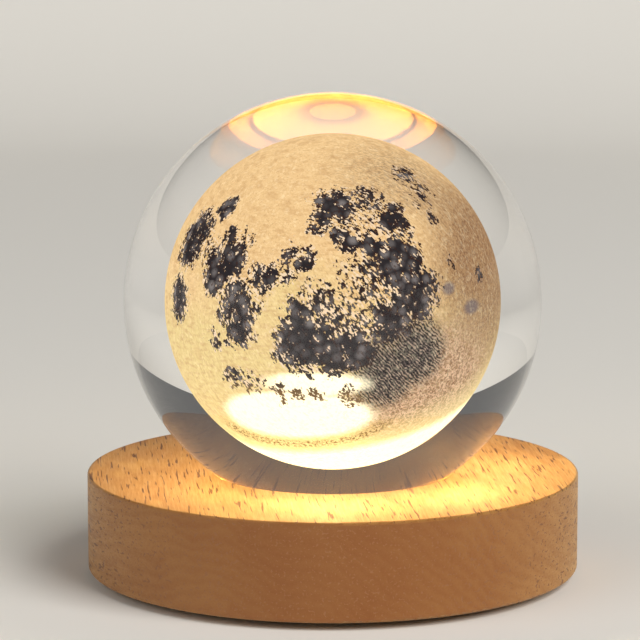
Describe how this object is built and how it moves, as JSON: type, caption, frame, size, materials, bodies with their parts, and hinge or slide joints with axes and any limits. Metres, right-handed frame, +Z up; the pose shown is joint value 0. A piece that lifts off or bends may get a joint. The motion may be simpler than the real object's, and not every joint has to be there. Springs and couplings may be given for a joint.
{
  "type": "moon lamp",
  "caption": "Clear glass ball with a moon engraved inside, resting in the turned seat of a round wooden base with warm LEDs, a power inlet and a push button at the back.",
  "frame": {"origin": "middle of the underside, at the level of the foot pads' faces", "axes": "+Z up, -Y towards the viewer of the moon's engraved face, +Y towards the power inlet and the button"},
  "size_m": [0.0944, 0.0944, 0.0926],
  "materials": {
    "beech": "oiled, fine sanded",
    "crystal": "polished",
    "engraving": "laser-engraved points, lit from below",
    "cover_plastic": "fine moulded grain",
    "pad_rubber": "matt",
    "holder_plastic": "moulded",
    "opal": "frosted",
    "board_white": "solder mask",
    "led_phosphor": "silicone over phosphor",
    "component_black": "moulded epoxy",
    "screw_steel": "zinc plated",
    "board_green": "solder mask on glass fibre",
    "ceramic": "fired ceramic",
    "socket_steel": "nickel plated",
    "button_plastic": "moulded",
    "plunger_plastic": "moulded",
    "lead_red": "insulation",
    "lead_black": "insulation"
  },
  "bodies": {
    "base": {"wood_base": "beech", "bottom_cover": "cover_plastic", "cover_screws": "screw_steel", "foot_pads": "pad_rubber", "led_holder": "holder_plastic", "holder_screws": "screw_steel", "light_diffuser": "opal", "led_board": "board_white", "leds": "led_phosphor", "led_resistors": "component_black", "led_board_screws": "screw_steel", "power_board": "board_green", "power_board_screws": "screw_steel", "driver_chip": "component_black", "capacitors": "ceramic", "usb_socket_shell": "socket_steel", "usb_socket_tongue": "component_black", "switch_housing": "component_black", "red_lead": "lead_red", "black_lead": "lead_black"},
    "button": {"button_cap": "button_plastic", "switch_plunger": "plunger_plastic"},
    "ball": {"glass_ball": "crystal", "engraved_moon": "engraving"}
  },
  "joints": [
    {"name": "ball_lift", "type": "slide", "parent": "base", "child": "ball", "axis": [0, 0, 1], "range_m": [0, 0.05]},
    {"name": "button_press", "type": "slide", "parent": "base", "child": "button", "axis": [0, -1, 0], "range_m": [0, 0.0015], "stiffness_N_per_m": 400, "springref_m": -0.002}
  ]
}
